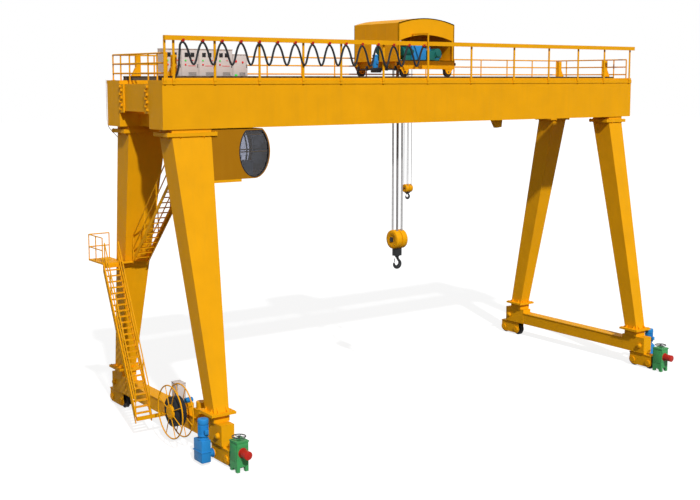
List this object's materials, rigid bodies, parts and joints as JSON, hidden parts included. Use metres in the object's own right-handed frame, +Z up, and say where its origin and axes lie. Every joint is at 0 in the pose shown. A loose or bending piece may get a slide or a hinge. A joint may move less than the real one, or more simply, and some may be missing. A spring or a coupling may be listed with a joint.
{
  "type": "gantry crane",
  "caption": "Double-girder gantry crane on A-frame legs with a hooded travelling crab, main and auxiliary hooks, driver's cab, stairs, cable reel and festoon cable.",
  "frame": {"origin": "on the ground under the middle of the girders, midway between the two girders, at the level that the wheels stand on", "axes": "+X along the span from the cab end to the far end, +Y along the ground rails away from the festoon side, +Z up"},
  "size_m": [25.354, 11.22, 16.1997],
  "materials": {
    "amber_paint": "semi-gloss",
    "blue_paint": "semi-gloss",
    "green_paint": "semi-gloss",
    "red_paint": "semi-gloss",
    "cabinet_grey": "satin",
    "cab_glazing": "gloss",
    "cable_rubber": "matte",
    "rail_steel": "worn",
    "wheel_steel": "satin",
    "handwheel_iron": "gloss",
    "rope_steel": "greased",
    "hook_iron": "satin"
  },
  "bodies": {
    "portal": {"front_girder": "amber_paint", "rear_girder": "amber_paint", "end_beams": "amber_paint", "crab_rails": "rail_steel", "crab_stops": "amber_paint", "leg_front_left": "amber_paint", "leg_rear_left": "amber_paint", "leg_front_right": "amber_paint", "leg_rear_right": "amber_paint", "sill_beam_left": "amber_paint", "sill_beam_right": "amber_paint", "bogie_frames": "amber_paint", "drive_motors": "blue_paint", "rail_clamps": "green_paint", "travel_buffers": "red_paint", "reel_stand": "amber_paint", "control_cabinets": "cabinet_grey", "stair_lower": "amber_paint", "stair_upper": "amber_paint", "platforms": "amber_paint", "platform_railings": "amber_paint", "cab_shell": "amber_paint", "cab_glass": "cab_glazing", "cab_door": "amber_paint", "walkway_handrails": "amber_paint", "festoon_beam": "amber_paint", "festoon_carriers": "red_paint", "festoon_cable": "cable_rubber"},
    "wheel_front_left_outer": {"wheel_front_left_outer": "wheel_steel"},
    "wheel_front_left_inner": {"wheel_front_left_inner": "wheel_steel"},
    "wheel_rear_left_outer": {"wheel_rear_left_outer": "wheel_steel"},
    "wheel_rear_left_inner": {"wheel_rear_left_inner": "wheel_steel"},
    "clamp_handwheel_left": {"clamp_handwheel_left": "handwheel_iron"},
    "wheel_front_right_outer": {"wheel_front_right_outer": "wheel_steel"},
    "wheel_front_right_inner": {"wheel_front_right_inner": "wheel_steel"},
    "wheel_rear_right_outer": {"wheel_rear_right_outer": "wheel_steel"},
    "wheel_rear_right_inner": {"wheel_rear_right_inner": "wheel_steel"},
    "clamp_handwheel_right": {"clamp_handwheel_right": "handwheel_iron"},
    "cable_reel": {"reel_wheel": "amber_paint", "reel_winding": "cable_rubber"},
    "crab": {"crab_chassis": "amber_paint", "crab_hood": "amber_paint", "tow_arm": "amber_paint", "hoist_drums": "blue_paint", "crab_motors": "blue_paint", "main_ropes": "rope_steel", "aux_ropes": "rope_steel"},
    "crab_wheel_front_left": {"crab_wheel_front_left": "wheel_steel"},
    "crab_wheel_rear_left": {"crab_wheel_rear_left": "wheel_steel"},
    "crab_wheel_front_right": {"crab_wheel_front_right": "wheel_steel"},
    "crab_wheel_rear_right": {"crab_wheel_rear_right": "wheel_steel"},
    "main_block": {"main_block": "amber_paint"},
    "main_hook": {"main_hook": "hook_iron"},
    "aux_block": {"aux_block": "amber_paint"},
    "aux_hook": {"aux_hook": "hook_iron"}
  },
  "joints": [
    {"name": "wheel_front_left_outer_roll", "type": "hinge", "parent": "portal", "child": "wheel_front_left_outer", "pos_m": [-11.33, -4.85, 0.3], "axis": [1, 0, 0], "continuous": true},
    {"name": "wheel_front_left_inner_roll", "type": "hinge", "parent": "portal", "child": "wheel_front_left_inner", "pos_m": [-11.33, -3.95, 0.3], "axis": [1, 0, 0], "continuous": true},
    {"name": "wheel_rear_left_outer_roll", "type": "hinge", "parent": "portal", "child": "wheel_rear_left_outer", "pos_m": [-11.33, 4.85, 0.3], "axis": [1, 0, 0], "continuous": true},
    {"name": "wheel_rear_left_inner_roll", "type": "hinge", "parent": "portal", "child": "wheel_rear_left_inner", "pos_m": [-11.33, 3.95, 0.3], "axis": [1, 0, 0], "continuous": true},
    {"name": "clamp_handwheel_left_turn", "type": "hinge", "parent": "portal", "child": "clamp_handwheel_left", "pos_m": [-11.33, -5.42, 1.25], "axis": [0, 0, 1], "continuous": true},
    {"name": "wheel_front_right_outer_roll", "type": "hinge", "parent": "portal", "child": "wheel_front_right_outer", "pos_m": [11.5, -4.85, 0.3], "axis": [1, 0, 0], "continuous": true},
    {"name": "wheel_front_right_inner_roll", "type": "hinge", "parent": "portal", "child": "wheel_front_right_inner", "pos_m": [11.5, -3.95, 0.3], "axis": [1, 0, 0], "continuous": true},
    {"name": "wheel_rear_right_outer_roll", "type": "hinge", "parent": "portal", "child": "wheel_rear_right_outer", "pos_m": [11.5, 4.85, 0.3], "axis": [1, 0, 0], "continuous": true},
    {"name": "wheel_rear_right_inner_roll", "type": "hinge", "parent": "portal", "child": "wheel_rear_right_inner", "pos_m": [11.5, 3.95, 0.3], "axis": [1, 0, 0], "continuous": true},
    {"name": "clamp_handwheel_right_turn", "type": "hinge", "parent": "portal", "child": "clamp_handwheel_right", "pos_m": [11.5, -5.42, 1.25], "axis": [0, 0, 1], "continuous": true},
    {"name": "cable_reel_turn", "type": "hinge", "parent": "portal", "child": "cable_reel", "pos_m": [-12, -2.1, 1.47], "axis": [1, 0, 0], "continuous": true},
    {"name": "crab_travel", "type": "slide", "parent": "portal", "child": "crab", "axis": [1, 0, 0], "range_m": [-8.5, 9.55], "deforming": ["festoon_cable", "festoon_carriers"]},
    {"name": "crab_wheel_front_left_roll", "type": "hinge", "parent": "crab", "child": "crab_wheel_front_left", "pos_m": [-0.9, -1.5, 13.9403], "axis": [0, 1, 0], "continuous": true},
    {"name": "crab_wheel_rear_left_roll", "type": "hinge", "parent": "crab", "child": "crab_wheel_rear_left", "pos_m": [-0.9, 1.5, 13.9403], "axis": [0, 1, 0], "continuous": true},
    {"name": "crab_wheel_front_right_roll", "type": "hinge", "parent": "crab", "child": "crab_wheel_front_right", "pos_m": [1.5, -1.5, 13.9403], "axis": [0, 1, 0], "continuous": true},
    {"name": "crab_wheel_rear_right_roll", "type": "hinge", "parent": "crab", "child": "crab_wheel_rear_right", "pos_m": [1.5, 1.5, 13.9403], "axis": [0, 1, 0], "continuous": true},
    {"name": "main_hoist", "type": "slide", "parent": "crab", "child": "main_block", "axis": [0, 0, 1], "range_m": [-5.1, 5.6], "deforming": ["main_ropes"]},
    {"name": "main_hook_swivel", "type": "hinge", "parent": "main_block", "child": "main_hook", "pos_m": [-0.22, -0.25, 5.9], "axis": [0, 0, 1], "continuous": true},
    {"name": "aux_hoist", "type": "slide", "parent": "crab", "child": "aux_block", "axis": [0, 0, 1], "range_m": [-8, 3.6], "deforming": ["aux_ropes"]},
    {"name": "aux_hook_swivel", "type": "hinge", "parent": "aux_block", "child": "aux_hook", "pos_m": [1.12, 0.7, 8.48], "axis": [0, 0, 1], "continuous": true}
  ],
  "couplings": [
    {"joint": "crab_wheel_front_left_roll", "follows": "crab_travel", "rad_per_m": 5.5556},
    {"joint": "crab_wheel_rear_left_roll", "follows": "crab_travel", "rad_per_m": 5.5556},
    {"joint": "crab_wheel_front_right_roll", "follows": "crab_travel", "rad_per_m": 5.5556},
    {"joint": "crab_wheel_rear_right_roll", "follows": "crab_travel", "rad_per_m": 5.5556}
  ]
}
